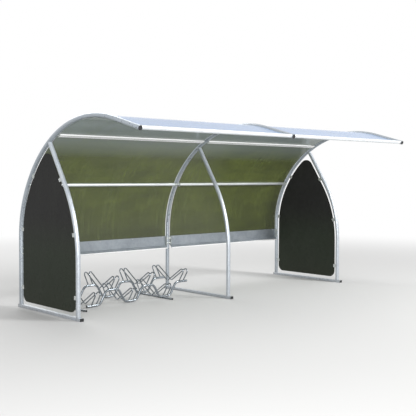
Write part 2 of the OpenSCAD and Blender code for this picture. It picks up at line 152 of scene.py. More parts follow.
def newGroup(name, inputs, outputs):
    tree = bpy.data.node_groups.new(name, "ShaderNodeTree")
    for socketName, kind, value in inputs:
        socket = tree.interface.new_socket(
            socketName, in_out="INPUT", socket_type="NodeSocket" + kind)
        socket.default_value = value
    for socketName, kind in outputs:
        tree.interface.new_socket(socketName, in_out="OUTPUT", socket_type="NodeSocket" + kind)
    given = tree.nodes.new("NodeGroupInput").outputs
    return tree, given, tree.nodes.new("NodeGroupOutput").inputs


def useGroup(tree, group, inputs):
    return addNode(tree, "ShaderNodeGroup", inputs, node_tree=group).outputs


def rgb(r, g, b):
    return (r, g, b, 1.0)


# zinc: fern-like grains, each a little lighter or darker, with a chalky bloom here and there
zincPattern = {
    "wobble": {"scale": 60.0, "detail": 2.0, "roughness": 0.5},
    "wobbleSize": 0.012,
    "patches": {"scale": 7.0, "detail": 6.0, "roughness": 0.65},
    "patchRange": (0.46, 0.72),
    "facetRoughness": 0.12, "bloomRoughness": 0.3,
    "fine": {"scale": 420.0, "detail": 2.0},
    "fineHeight": 0.3, "facetHeight": 0.5,
}


def makeZincGroup(pattern):
    tree, given, out = newGroup(
        "zincGrain",
        [("Zinc", "Color", rgb(0.6, 0.63, 0.66)), ("Bloom", "Color", rgb(0.75, 0.77, 0.78)),
         ("Grain Scale", "Float", 90.0), ("Grain Contrast", "Float", 0.16),
         ("Bloom Amount", "Float", 0.4), ("Polish", "Float", 0.3)],
        [("Color", "Color"), ("Roughness", "Float"), ("Height", "Float")])
    where = objectCoords(tree)
    wobble = vectorMath(tree, "SCALE", {0: noise(tree, where, **pattern["wobble"], output="Color"),
                                        "Scale": pattern["wobbleSize"]})
    bent = vectorMath(tree, "ADD", {0: where, 1: wobble})
    cells = addNode(tree, "ShaderNodeTexVoronoi", {"Vector": bent, "Scale": given["Grain Scale"]},
                    feature="F1")
    facet = addNode(tree, "ShaderNodeSeparateColor", {"Color": cells.outputs["Color"]}).outputs["Red"]
    lighter = doMath(tree, "SUBTRACT", facet, 0.5)
    shade = doMath(tree, "MULTIPLY_ADD", lighter, given["Grain Contrast"], 1.0)
    grained = mixColour(tree, 1.0, given["Zinc"], grey(tree, shade), "MULTIPLY")
    patches = remap(tree, noise(tree, where, **pattern["patches"]), *pattern["patchRange"])
    bloom = doMath(tree, "MULTIPLY", patches, given["Bloom Amount"], clamp=True)
    rough = doMath(tree, "MULTIPLY_ADD", facet, pattern["facetRoughness"], given["Polish"])
    fine = doMath(tree, "MULTIPLY", noise(tree, where, **pattern["fine"]), pattern["fineHeight"])
    plug(tree, out, {
        "Color": mixColour(tree, bloom, grained, given["Bloom"]),
        "Roughness": doMath(tree, "MULTIPLY_ADD", bloom, pattern["bloomRoughness"], rough, clamp=True),
        "Height": doMath(tree, "MULTIPLY_ADD", facet, pattern["facetHeight"], fine)})
    return tree


# grey dirt splashed up from the ground, thinner with height
splashPattern = {
    "specks": {"scale": 34.0, "detail": 8.0, "roughness": 0.7},
    "speckRange": (0.4, 0.7),
    "falloff": 1.6,
}


def makeSplashGroup(pattern):
    tree, given, out = newGroup(
        "groundSplash",
        [("Color", "Color", rgb(0.6, 0.6, 0.6)), ("Dirt", "Color", rgb(0.22, 0.2, 0.17)),
         ("Top", "Float", 0.35), ("Amount", "Float", 0.5)],
        [("Color", "Color"), ("Mask", "Float")])
    where = objectCoords(tree)
    up = doMath(tree, "DIVIDE", axes(tree, where)["Z"], given["Top"])
    low = doMath(tree, "SUBTRACT", 1.0, up, clamp=True)
    specks = remap(tree, noise(tree, where, **pattern["specks"]), *pattern["speckRange"])
    thinned = doMath(tree, "MULTIPLY", doMath(tree, "POWER", low, pattern["falloff"]), specks)
    mask = doMath(tree, "MULTIPLY", thinned, given["Amount"], clamp=True)
    plug(tree, out, {"Color": mixColour(tree, mask, given["Color"], given["Dirt"]), "Mask": mask})
    return tree


# rain streaks that run down a sheet or a panel
streakPattern = {
    "thinStretch": (1.0, 0.35, 0.06),
    "thinDetail": 5.0, "thinRoughness": 0.6,
    "thinRange": (0.45, 0.75),
    "broadStretch": (1.0, 0.5, 0.3),
    "broad": {"scale": 3.2, "detail": 3.0},
    "broadRange": (0.35, 0.65),
}


def makeStreakGroup(pattern):
    tree, given, out = newGroup(
        "rainStreaks",
        [("Color", "Color", rgb(0.6, 0.6, 0.6)), ("Streak", "Color", rgb(0.75, 0.78, 0.76)),
         ("Width", "Float", 26.0), ("Amount", "Float", 0.4)],
        [("Color", "Color"), ("Mask", "Float")])
    where = objectCoords(tree)
    thin = noise(tree, stretched(tree, where, pattern["thinStretch"]), given["Width"],
                 pattern["thinDetail"], pattern["thinRoughness"])
    broad = noise(tree, stretched(tree, where, pattern["broadStretch"]), **pattern["broad"])
    both = doMath(tree, "MULTIPLY", remap(tree, thin, *pattern["thinRange"]),
                  remap(tree, broad, *pattern["broadRange"]))
    mask = doMath(tree, "MULTIPLY", both, given["Amount"], clamp=True)
    plug(tree, out, {"Color": mixColour(tree, mask, given["Color"], given["Streak"]), "Mask": mask})
    return tree


zincGrain = makeZincGroup(zincPattern)
groundSplash = makeSplashGroup(splashPattern)
rainStreaks = makeStreakGroup(streakPattern)


def newMaterial(name):
    material = bpy.data.materials.new(name)
    material.use_nodes = True
    tree = material.node_tree
    return material, tree, tree.nodes["Principled BSDF"]


def setBump(tree, shader, height, strength, distance):
    bump = addNode(tree, "ShaderNodeBump", {
        "Height": height, "Strength": strength, "Distance": distance})
    tree.links.new(bump.outputs["Normal"], shader.inputs["Normal"])


# each metal finish: zinc and bloom colours, how metallic, and its grain, bloom, polish and splash
unsplashed = {"splash": 0.0, "splashTop": 0.3}
steelFinishes = {
    "frameZinc": {
        "zinc": rgb(0.50, 0.54, 0.585), "bloom": rgb(0.60, 0.63, 0.66), "metallic": 0.6,
        "grain": 95.0, "contrast": 0.14, "bloomAmount": 0.35, "polish": 0.28,
        "splash": 0.5, "splashTop": 0.42},
    # the frame's zinc made darker for the hoops: painted shade, as the hoops stand in shade
    "hoopZincPaintedShade": {
        "zinc": rgb(0.38, 0.42, 0.46), "bloom": rgb(0.48, 0.52, 0.55), "metallic": 0.7,
        "grain": 95.0, "contrast": 0.14, "bloomAmount": 0.35, "polish": 0.26,
        "splash": 0.5, "splashTop": 0.42},
    "railZinc": {
        "zinc": rgb(0.72, 0.75, 0.77), "bloom": rgb(0.82, 0.83, 0.83), "metallic": 0.55,
        "grain": 70.0, "contrast": 0.1, "bloomAmount": 0.3, "polish": 0.3, **unsplashed},
    # the upper rail's aluminium with painted light: near white and not metallic so it looks sunlit under
    # the roof; also a painted highlight on the lower rails' hem
    "railAluminiumPaintedLight": {
        "zinc": rgb(0.95, 0.95, 0.955), "bloom": rgb(0.96, 0.96, 0.96), "metallic": 0.0,
        "grain": 30.0, "contrast": 0.03, "bloomAmount": 0.2, "polish": 0.3, **unsplashed},
    "plateZinc": {
        "zinc": rgb(0.26, 0.29, 0.32), "bloom": rgb(0.38, 0.41, 0.44), "metallic": 0.35,
        "grain": 60.0, "contrast": 0.16, "bloomAmount": 0.5, "polish": 0.36, **unsplashed},
    "bracketZinc": {
        "zinc": rgb(0.54, 0.57, 0.55), "bloom": rgb(0.66, 0.68, 0.65), "metallic": 0.7,
        "grain": 110.0, "contrast": 0.2, "bloomAmount": 0.6, "polish": 0.36, **unsplashed},
    "rackZinc": {
        "zinc": rgb(0.26, 0.29, 0.32), "bloom": rgb(0.40, 0.43, 0.45), "metallic": 0.85,
        "grain": 130.0, "contrast": 0.16, "bloomAmount": 0.35, "polish": 0.14,
        "splash": 0.4, "splashTop": 0.25},
    "boltSteel": {
        "zinc": rgb(0.66, 0.67, 0.68), "bloom": rgb(0.72, 0.72, 0.71), "metallic": 1.0,
        "grain": 400.0, "contrast": 0.08, "bloomAmount": 0.15, "polish": 0.2, **unsplashed},
    "weldZinc": {
        "zinc": rgb(0.36, 0.39, 0.42), "bloom": rgb(0.55, 0.57, 0.58), "metallic": 0.8,
        "grain": 240.0, "contrast": 0.3, "bloomAmount": 0.5, "polish": 0.34,
        "splash": 0.3, "splashTop": 0.42},
}
steelSurface = {"dirtRoughness": 0.4, "bump": 0.12, "bumpDepth": 0.0008}


def makeSteel(name, finish, surface):
    material, tree, shader = newMaterial(name)
    zinc = useGroup(tree, zincGrain, {
        "Zinc": finish["zinc"], "Bloom": finish["bloom"], "Grain Scale": finish["grain"],
        "Grain Contrast": finish["contrast"], "Bloom Amount": finish["bloomAmount"],
        "Polish": finish["polish"]})
    dirty = useGroup(tree, groundSplash, {
        "Color": zinc["Color"], "Top": finish["splashTop"], "Amount": finish["splash"]})
    rough = doMath(tree, "MULTIPLY_ADD", dirty["Mask"], surface["dirtRoughness"], zinc["Roughness"],
                   clamp=True)
    dulled = doMath(tree, "MULTIPLY", dirty["Mask"], finish["metallic"])
    plug(tree, shader.inputs, {
        "Base Color": dirty["Color"], "Roughness": rough,
        "Metallic": doMath(tree, "SUBTRACT", finish["metallic"], dulled, clamp=True)})
    setBump(tree, shader, zinc["Height"], surface["bump"], surface["bumpDepth"])
    return material


steels = {name: makeSteel(name, finish, steelSurface) for name, finish in steelFinishes.items()}

# clear twin-wall sheets: outside, a painted sky reflection turns them sky blue towards the roof; inside,
# a painted view of the greenery behind makes them olive, and a painted view of the sky through the roof
# makes them grey, with fine upright flutes; opacity runs from face-on to grazing
sheetLook = {
    "outer": rgb(0.265, 0.38, 0.60), "outerWall": rgb(0.15, 0.18, 0.125), "skyReflectionTurn": (0.50, 0.94),
    "wall": rgb(0.082, 0.102, 0.012), "wallLow": rgb(0.046, 0.058, 0.005), "wallHeights": (0.75, 1.45),
    "roof": rgb(0.32, 0.37, 0.37), "skyThroughTurn": (-0.72, -0.96),
    "edge": rgb(0.30, 0.29, 0.34), "edgeTurn": 0.7, "edgeOpacity": 0.95,
    "bendCentre": (0.0, -0.30, 0.70),
    "cloud": {"scale": 2.6, "detail": 4.0, "roughness": 0.6},
    "cloudStretch": (0.8, 1.0, 2.4),
    "cloudRange": (0.3, 0.7, 0.75, 1.3),
    "streak": rgb(0.20, 0.235, 0.115),
    "streakWidth": 22.0, "streakAmount": 0.3, "streakHaze": 0.15,
    "opacity": (0.79, 0.97), "opacityPower": 2.4, "grazing": 0.85, "shadowThrough": 0.85,
    "flutePitch": 0.011, "fluteWall": 0.0030, "fluteShade": 0.4, "fluteOpacity": 0.1,
    "fluteColour": rgb(0.05, 0.06, 0.05), "wear": {"scale": 30.0, "detail": 4.0},
    "wearRange": (0.3, 0.7, 0.15, 0.25),
    "bump": 0.03, "bumpDepth": 0.0004, "specular": 0.35, "ior": 1.5,
}


# colour of the outer and inner skins, before streaks and flutes: painted sky reflection outside, painted
# greenery and sky seen through inside
def sheetBody(tree, look, where, normal, turned):
    flat = vectorMath(tree, "MULTIPLY", {
        0: vectorMath(tree, "SUBTRACT", {0: where, 1: look["bendCentre"]}), 1: (0.0, 1.0, 1.0)})
    outward = vectorMath(tree, "DOT_PRODUCT", {0: normal, 1: flat}, "Value")
    isOuter = doMath(tree, "GREATER_THAN", outward, 0.0)
    # painted sky reflection: the outer skin turns sky blue as it faces up towards the roof
    paintedSkyReflection = remap(tree, turned["Z"], *look["skyReflectionTurn"])
    outer = mixColour(tree, paintedSkyReflection, look["outerWall"], look["outer"])
    # painted view of the greenery behind the sheet: olive, darker low down, with blurred mottling
    lifted = remap(tree, axes(tree, where)["Z"], *look["wallHeights"])
    wall = mixColour(tree, lifted, look["wallLow"], look["wall"])
    cloud = noise(tree, stretched(tree, where, look["cloudStretch"]), **look["cloud"])
    paintedGreenery = mixColour(tree, 1.0, wall, grey(tree, remap(tree, cloud, *look["cloudRange"])), "MULTIPLY")
    # painted view of the sky through the roof: the inner skin turns grey where it faces down
    inner = mixColour(tree, remap(tree, turned["Z"], *look["skyThroughTurn"]), paintedGreenery, look["roof"])
    return mixColour(tree, isOuter, inner, outer)


def makeSheetMaterial(look):
    material, tree, shader = newMaterial("clearSheet")
    where = objectCoords(tree)
    normal = addNode(tree, "ShaderNodeNewGeometry").outputs["Normal"]
    turned = axes(tree, normal)
    isEdge = doMath(tree, "GREATER_THAN", doMath(tree, "ABSOLUTE", turned["X"]), look["edgeTurn"])
    streaked = useGroup(tree, rainStreaks, {
        "Color": sheetBody(tree, look, where, normal, turned), "Streak": look["streak"],
        "Width": look["streakWidth"], "Amount": look["streakAmount"]})
    fromWall = doMath(tree, "PINGPONG", axes(tree, where)["X"], look["flutePitch"] / 2)
    flute = remap(tree, fromWall, look["fluteWall"], 0.0)
    ribbed = mixColour(tree, doMath(tree, "MULTIPLY", flute, look["fluteShade"]), streaked["Color"],
                       look["fluteColour"])
    facing = addNode(tree, "ShaderNodeLayerWeight", {"Blend": 0.5}).outputs["Facing"]
    opacity = remap(tree, doMath(tree, "POWER", facing, look["opacityPower"]), 0.0, look["grazing"],
                    *look["opacity"])
    hazy = doMath(tree, "MULTIPLY_ADD", streaked["Mask"], look["streakHaze"], opacity, clamp=True)
    ribs = doMath(tree, "MULTIPLY_ADD", flute, look["fluteOpacity"], hazy, clamp=True)
    solid = doMath(tree, "MAXIMUM", ribs, doMath(tree, "MULTIPLY", isEdge, look["edgeOpacity"]))
    # sunlight comes through the sheets, so their shadow is a light one
    isShadow = addNode(tree, "ShaderNodeLightPath").outputs["Is Shadow Ray"]
    lightened = doMath(tree, "MULTIPLY_ADD", isShadow, -look["shadowThrough"], 1.0)
    plug(tree, shader.inputs, {
        "Base Color": mixColour(tree, isEdge, ribbed, look["edge"]),
        "Alpha": doMath(tree, "MULTIPLY", solid, lightened),
        "Roughness": remap(tree, noise(tree, where, **look["wear"]), *look["wearRange"]),
        "Specular IOR Level": look["specular"], "IOR": look["ior"]})
    setBump(tree, shader, doMath(tree, "MULTIPLY", flute, -1.0), look["bump"], look["bumpDepth"])
    return material


clearSheet = makeSheetMaterial(sheetLook)


# dark end panels: almost black, a painted reflection of the ground makes them a shade greener low down,
# dusty at the foot
panelLook = {
    "colour": rgb(0.027, 0.027, 0.0265), "low": rgb(0.031, 0.037, 0.028),
    "groundReflectionFrom": 1.05, "groundReflectionTo": 0.65,
    "streak": rgb(0.040, 0.043, 0.037),
    "streakWidth": 30.0, "streakAmount": 0.5,
    "dirt": rgb(0.075, 0.070, 0.055),
    "dirtTop": 0.45, "dirtAmount": 0.45, "dirtRoughness": 0.5,
    "wear": {"scale": 12.0, "detail": 5.0},
    "wearRange": (0.3, 0.7, 0.22, 0.34),
    "ripple": {"scale": 3.0, "detail": 1.0},
    "rippleStretch": (1.0, 1.0, 0.5),
    "bump": 0.1, "bumpDepth": 0.02, "specular": 0.04,
}


def makePanelMaterial(look):
    material, tree, shader = newMaterial("smokedPanel")
    where = objectCoords(tree)
    # painted reflection of the ground: a shade greener low down
    paintedGroundReflection = remap(tree, axes(tree, where)["Z"], look["groundReflectionFrom"], look["groundReflectionTo"])
    streaked = useGroup(tree, rainStreaks, {
        "Color": mixColour(tree, paintedGroundReflection, look["colour"], look["low"]), "Streak": look["streak"],
        "Width": look["streakWidth"], "Amount": look["streakAmount"]})
    dirty = useGroup(tree, groundSplash, {
        "Color": streaked["Color"], "Dirt": look["dirt"], "Top": look["dirtTop"],
        "Amount": look["dirtAmount"]})
    wear = remap(tree, noise(tree, where, **look["wear"]), *look["wearRange"])
    rough = doMath(tree, "MULTIPLY_ADD", dirty["Mask"], look["dirtRoughness"], wear, clamp=True)
    plug(tree, shader.inputs, {"Base Color": dirty["Color"], "Roughness": rough,
                               "Specular IOR Level": look["specular"]})
    ripple = noise(tree, stretched(tree, where, look["rippleStretch"]), **look["ripple"])
    setBump(tree, shader, ripple, look["bump"], look["bumpDepth"])
    return material


smokedPanel = makePanelMaterial(panelLook)


# black caps and rubber, scuffed a little
plasticLook = {
    "scuffs": {"scale": 45.0, "detail": 6.0, "roughness": 0.7},
    "scuffRange": (0.55, 0.8),
    "scuffColour": rgb(0.09, 0.09, 0.09), "scuffAmount": 0.4,
    "roughness": (0.38, 0.6),
    "grainDetail": 2.0, "bump": 0.2, "bumpDepth": 0.0004,
}


def makePlasticMaterial(name, colour, grain, look):
    material, tree, shader = newMaterial(name)
    where = objectCoords(tree)
    scuffs = remap(tree, noise(tree, where, **look["scuffs"]), *look["scuffRange"])
    amount = doMath(tree, "MULTIPLY", scuffs, look["scuffAmount"])
    plug(tree, shader.inputs, {
        "Base Color": mixColour(tree, amount, colour, look["scuffColour"]),
        "Roughness": remap(tree, scuffs, 0.0, 1.0, *look["roughness"])})
    setBump(tree, shader, noise(tree, where, grain, look["grainDetail"]), look["bump"],
            look["bumpDepth"])
    return material


blackPlastic = makePlasticMaterial("blackPlastic", rgb(0.012, 0.012, 0.013), 900.0, plasticLook)
blackRubber = makePlasticMaterial("blackRubber", rgb(0.02, 0.02, 0.02), 500.0, plasticLook)

# which material each carried-over node gets, by how its name starts
nodeFinishes = {
    "base_rail": steels["frameZinc"],
    "rear_hoop": steels["hoopZincPaintedShade"],
    "front_post": steels["frameZinc"],
    "frame_caps": blackPlastic,
    "rail_brackets": steels["bracketZinc"],
    "front_edge_tube": steels["railZinc"],
    "upper_rail": steels["railAluminiumPaintedLight"],
    "mid_rail": steels["railZinc"],
    "lower_rail": steels["plateZinc"],
    "back_sheet": clearSheet,
    "roof_sheet": clearSheet,
    "end_panel": smokedPanel,
    "panel_clamps": steels["bracketZinc"],
    "rack_caps": blackPlastic,
    "rack": steels["rackZinc"],
}
for nodeName, node in nodes.items():
    finish = next(material for start, material in nodeFinishes.items() if nodeName.startswith(start))
    node.data.materials.clear()
    node.data.materials.append(finish)
print("materials made and set on every node")


# edges sharper than these angles stay crisp: small parts, tubes, box rails and weld beads
crispFrom = {"small": 38, "tube": 32, "boxRail": 30, "weld": 60}
mergeWithin = 5e-6


def finishPiece(name, bm, material, edges="small"):
    bmesh.ops.remove_doubles(bm, verts=bm.verts, dist=mergeWithin)
    bmesh.ops.recalc_face_normals(bm, faces=bm.faces)
    mesh = bpy.data.meshes.new(name)
    bm.to_mesh(mesh)
    bm.free()
    mesh.shade_smooth()
    mesh.set_sharp_from_angle(angle=math.radians(crispFrom[edges]))
    mesh.materials.append(material)
    piece = bpy.data.objects.new(name, mesh)
    bpy.context.scene.collection.objects.link(piece)
    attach(piece, "root")
    return piece


# metres that a new skin may stand off its node's box
allowedOff = 0.0006


def replaceNode(nodeName, bm, material, edges="tube"):
    piece = finishPiece(nodeName + "_skin", bm, material, edges)
    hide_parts(nodeName)
    low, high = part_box(nodeName)
    spans = [[vert.co[axis] for vert in piece.data.vertices] for axis in range(3)]
    off = max(max(abs(min(span) - start), abs(max(span) - end))
              for span, start, end in zip(spans, low, high))
    if off > allowedOff:
        print("check", nodeName, "off by", round(off * 1000, 2), "mm")


def rollEdges(bm, edges, size, steps):
    bmesh.ops.bevel(bm, geom=edges, offset=size, offset_type="OFFSET", affect="EDGES",
                    segments=steps, profile=0.5, material=-1)


# these tubes and plugs keep the node's own mesh, merged into one smooth skin each
smoothNodes = {
    "front_edge_tube": "galvanised_frame",
    "mid_rail": "rail_steel",
    "rack_foot": "galvanised_rack",
    "rack_caps": "black_caps",
}


def smoothCopy(nodeName):
    node = nodes[nodeName]
    bm = bmesh.new()
    bm.from_mesh(node.data)
    replaceNode(nodeName, bm, node.data.materials[0])


for nodeName in list(nodes):
    for start, slot in smoothNodes.items():
        if nodeName.startswith(start):
            smoothCopy(nodeName)
print("tubes have smooth skins")

# base rails: box tube with rolled corners along its long square edges
baseRail = {"outerCorner": 0.004, "innerCorner": 0.0015, "steps": 4, "longFrom": 1.0, "squareFrom": 60,
            "outerWithin": 0.001, "flatWithin": 1}


def makeBaseRail(side, look):
    nodeName = "base_rail_" + side
    bm = bmesh.new()
    bm.from_mesh(nodes[nodeName].data)
    bmesh.ops.remove_doubles(bm, verts=bm.verts, dist=mergeWithin)
    bmesh.ops.dissolve_limit(bm, angle_limit=math.radians(look["flatWithin"]), verts=bm.verts,
                             edges=bm.edges)
    long = [edge for edge in bm.edges
            if edge.calc_length() > look["longFrom"] and len(edge.link_faces) == 2
            and edge.calc_face_angle(0) > math.radians(look["squareFrom"])]
    middle = sum(edge.verts[0].co.x for edge in long) / len(long)
    reach = max(abs(edge.verts[0].co.x - middle) for edge in long)
    outer = [edge for edge in long if abs(edge.verts[0].co.x - middle) > reach - look["outerWithin"]]
    inner = [edge for edge in long if edge not in outer]
    for edges, corner in ((outer, look["outerCorner"]), (inner, look["innerCorner"])):
        rollEdges(bm, edges, corner, look["steps"])
    replaceNode(nodeName, bm, steels["frameZinc"], "boxRail")


for side in ("left", "middle", "right"):
    makeBaseRail(side, baseRail)
print("base rails rounded")

# where the frames, rails and sheets run: metres and degrees, headings from upright towards the front
shelter = {
    "frames": {"left": -2.15, "middle": 0.0, "right": 2.15},
    "bays": {"left": -2.15, "right": 0.0},
    "railWays": {"left": [1], "middle": [-1, 1], "right": [-1]},
    "hoopY": 1.06548, "postY": -0.07452, "railTop": 0.032,
    "tube": 0.024, "tubeSides": 48, "tubeStep": 1.5,
    "hoopUpright": 0.758, "backRadius": 1.115, "backTurn": 25, "topRadius": 1.415, "topTurn": 80,
    "arm": 0.418, "hoopTrim": 0.00002,
    "postUpright": 0.558, "postRadius": 1.450, "postLean": 33, "saddleNear": 0.0288,
    "saddleSink": 0.0003,
    "railEnd": 0.040, "railRun": 2.070, "stripInset": 0.001, "plate": 0.003, "stub": 0.013,
    "edgeTube": 0.021, "edgeInset": 0.026, "midRailAt": 30.5, "upperRailAt": 62,
    "lowerRailTop": 0.690, "lowerRailWeb": 0.118, "lowerRailWall": 0.003,
    "sheetThick": 0.006, "sheetFoot": 0.640, "sheetGap": 0.4049, "roofRun": 0.379,
}


def afterStraight(station, run):
    y, z, heading = station
    turn = math.radians(heading)
    return (y - run * math.sin(turn), z + run * math.cos(turn), heading)


def afterBend(station, radius, angle):
    y, z, heading = station
    start, end = math.radians(heading), math.radians(heading + angle)
    signed = math.copysign(radius, angle)
    return (y - signed * (math.cos(start) - math.cos(end)),
            z - signed * (math.sin(start) - math.sin(end)), heading + angle)


def followPath(station, path):
    stations = [station]
    for run, radius, angle in path:
        station = afterStraight(station, run)
        if angle:
            station = afterBend(station, radius, angle)
        stations.append(station)
    return stations


# local X outward, local Y along the tube, local Z to the right of the shelter
def stationMatrix(x, station):
    y, z, heading = station
    turn = math.radians(heading)
    return Matrix(((0, 0, 1, x),
                   (math.cos(turn), -math.sin(turn), 0, y),
                   (math.sin(turn), math.cos(turn), 0, z),
                   (0, 0, 0, 1)))


def place(x, y, z):
    return Matrix.Translation((x, y, z))


# each path is a list of straight run, bend radius and bend angle
topRadius = shelter["topRadius"]
hoopPath = [(shelter["hoopUpright"], shelter["backRadius"], shelter["backTurn"]),
            (0.0, topRadius, shelter["topTurn"]), (shelter["arm"], 0, 0)]
postPath = [(shelter["postUpright"], shelter["postRadius"], -shelter["postLean"])]
hoopFoot = (shelter["hoopY"], shelter["railTop"], 0)
postFoot = (shelter["postY"], shelter["railTop"], 0)
hoopStations = followPath(hoopFoot, hoopPath)
postBendEnd = followPath(postFoot, postPath)[1]
topBend = (hoopStations[1][0] - topRadius * math.cos(math.radians(shelter["backTurn"])),
           hoopStations[1][1] - topRadius * math.sin(math.radians(shelter["backTurn"])))


def onHoop(heading):
    turn = math.radians(heading)
    return (topBend[0] + topRadius * math.cos(turn), topBend[1] + topRadius * math.sin(turn), heading)


postTurn = math.radians(shelter["postLean"])
postAlong = Vector((0.0, math.sin(postTurn), math.cos(postTurn)))


# how far along the post a point is from a circle round the hoop's bend
def reachBend(y, z, radius):
    apart = (y - topBend[0], z - topBend[1])
    dot = apart[0] * postAlong.y + apart[1] * postAlong.z
    return -dot + math.sqrt(dot * dot - apart[0] ** 2 - apart[1] ** 2 + radius ** 2)


postReach = reachBend(postBendEnd[0], postBendEnd[1], topRadius)
joint = afterStraight(postBendEnd, postReach)
jointTurn = math.asin((joint[1] - topBend[1]) / topRadius)


def only(kind, items):
    return [item for item in items if isinstance(item, kind)]


def addShape(group, shape, matrix):
    bmesh.ops.transform(shape, matrix=matrix, verts=shape.verts)
    mesh = bpy.data.meshes.new("shape")
    shape.to_mesh(mesh)
    shape.free()
    group.from_mesh(mesh)
    bpy.data.meshes.remove(mesh)


fewestSteps = 4


# draws a face, given in the station's outward and sideways axes, through straights and bends
def sweepFace(bm, face, station, path, stepAngle):
    bmesh.ops.transform(bm, matrix=stationMatrix(0, station), verts=face.verts)
    last = [face]
    for run, radius, angle in path:
        if run:
            grown = bmesh.ops.extrude_face_region(bm, geom=last)["geom"]
            turn = math.radians(station[2])
            bmesh.ops.translate(bm, verts=only(bmesh.types.BMVert, grown),
                                vec=(0, -run * math.sin(turn), run * math.cos(turn)))
            last = only(bmesh.types.BMFace, grown)
            station = afterStraight(station, run)
        if angle:
            turn = math.radians(station[2])
            signed = math.copysign(radius, angle)
            centre = (0, station[0] - signed * math.cos(turn), station[1] - signed * math.sin(turn))
            steps = max(fewestSteps, round(abs(angle) / stepAngle))
            swept = bmesh.ops.spin(bm, geom=last, cent=centre, axis=(1, 0, 0), angle=math.radians(angle),
                                   steps=steps, use_duplicate=False)["geom_last"]
            last = only(bmesh.types.BMFace, swept)
            station = afterBend(station, radius, angle)


def roundShape(radius, sides, filled):
    bm = bmesh.new()
    bmesh.ops.create_circle(bm, cap_ends=filled, segments=sides, radius=radius)
    bmesh.ops.rotate(bm, verts=bm.verts, cent=(0, 0, 0), matrix=Matrix.Rotation(math.pi / 2, 3, "X"))
    return bm


def spinRound(bm, steps):
    bmesh.ops.spin(bm, geom=bm.edges[:], cent=(0, 0, 0), axis=(0, 0, 1), angle=2 * math.pi, steps=steps,
                   use_merge=True, use_duplicate=False)


def sweptBar(radius, station, path, stepAngle, sides):
    bm = roundShape(radius, sides, True)
    sweepFace(bm, bm.faces[:][0], station, path, stepAngle)
    return bm


# clear sheets: where each starts, the path it is bent along, and degrees a step
sheetShape = {
    "back_sheet": ((shelter["hoopY"], shelter["sheetFoot"], 0), [
        (shelter["railTop"] + shelter["hoopUpright"] - shelter["sheetFoot"], shelter["backRadius"],
         shelter["backTurn"]),
        (0.0, topRadius, shelter["upperRailAt"] - shelter["sheetGap"] - shelter["backTurn"])]),
    "roof_sheet": (onHoop(shelter["upperRailAt"] + shelter["sheetGap"]), [
        (0.0, topRadius,
         shelter["backTurn"] + shelter["topTurn"] - shelter["upperRailAt"] - shelter["sheetGap"]),
        (shelter["roofRun"], 0, 0)]),
    "stepAngle": 1.0,
}


def makeSheet(kind, side, x, look):
    bm = bmesh.new()
    half, run = shelter["sheetThick"] / 2, shelter["railRun"]
    corners = [(-half, 0, 0), (half, 0, 0), (half, 0, run), (-half, 0, run)]
    face = bm.faces.new([bm.verts.new(corner) for corner in corners])
    sweepFace(bm, face, *look[kind], look["stepAngle"])
    bmesh.ops.translate(bm, verts=bm.verts, vec=(x + shelter["railEnd"], 0, 0))
    replaceNode(kind + "_" + side, bm, clearSheet)


for side, x in shelter["bays"].items():
    for kind in ("back_sheet", "roof_sheet"):
        makeSheet(kind, side, x, sheetShape)
print("sheets drawn")


# cuts the post's end to the round of the hoop
def saddlePost(bm):
    end = Vector((0.0, joint[0], joint[1]))
    for vert in bm.verts:
        if (vert.co - end).length < shelter["saddleNear"]:
            depth = math.sqrt(max(shelter["tube"] ** 2 - vert.co.x ** 2, 0.0))
            radius = topRadius - depth + shelter["saddleSink"]
            vert.co += postAlong * reachBend(vert.co.y, vert.co.z, radius)


def makeFrameTubes(side, x):
    step, sides = shelter["tubeStep"], shelter["tubeSides"]
    post = sweptBar(shelter["tube"], postFoot, postPath + [(postReach, 0, 0)], step, sides)
    saddlePost(post)
    bars = {
        "rear_hoop_": sweptBar(shelter["tube"] - shelter["hoopTrim"], hoopFoot, hoopPath, step, sides),
        "front_post_": post,
    }
    for start, bm in bars.items():
        bmesh.ops.translate(bm, verts=bm.verts, vec=(x, 0, 0))
        replaceNode(start + side, bm, nodeFinishes[start[:-1]])


for side, x in shelter["frames"].items():
    makeFrameTubes(side, x)
print("hoops and posts drawn")

# rack: waves of one bent tube each, cradles of two bent rods each, and where waves lie in foot tubes
rackLook = {
    "slots": 6, "left": -1.673, "half": 0.093, "pitch": 0.260, "rodGap": 0.065,
    "lowZ": 0.020, "rise": 0.158, "wave": 0.014, "waveBend": 0.075, "waveTurn": 60,
    "waveStep": 6.0, "waveSides": 32, "rearReach": 0.148, "rod": 0.007, "rodStep": 7.0,
    "rodSides": 20, "lean": 34, "high": 0.158, "arch": 0.030, "trough": 0.042, "troughZ": -0.002,
    "frontY": 0.47848, "rearY": 0.91048, "foot": 0.011,
    "feet": [(-1.800, 0.91048), (-0.572, 0.47848), (-0.572, 0.91048)],
}


def wavePath(look, reach):
    turn = math.radians(look["waveTurn"])
    bend = look["waveBend"]
    slope = (look["rise"] - 2 * bend * (1 - math.cos(turn))) / math.sin(turn)
    flat = look["pitch"] - 2 * bend * math.sin(turn) - slope * math.cos(turn)
    end = look["half"] + flat / 2
    path = []
    for index in range(look["slots"] - 1):
        for half in (0, 1):
            way = look["waveTurn"] if (index + half) % 2 else -look["waveTurn"]
            run = slope if half else (end + reach if index == 0 else flat)
            path.append((run, bend, way))
    return path + [(end, 0, 0)]


def makeWave(nodeName, y, reach, look):
    bm = sweptBar(look["wave"], (0, 0, 90), wavePath(look, reach), look["waveStep"], look["waveSides"])
    start = place(look["left"] - reach, y, look["lowZ"])
    bmesh.ops.transform(bm, matrix=start @ Matrix.Rotation(math.pi / 2, 4, "Z"), verts=bm.verts)
    replaceNode(nodeName, bm, steels["rackZinc"])


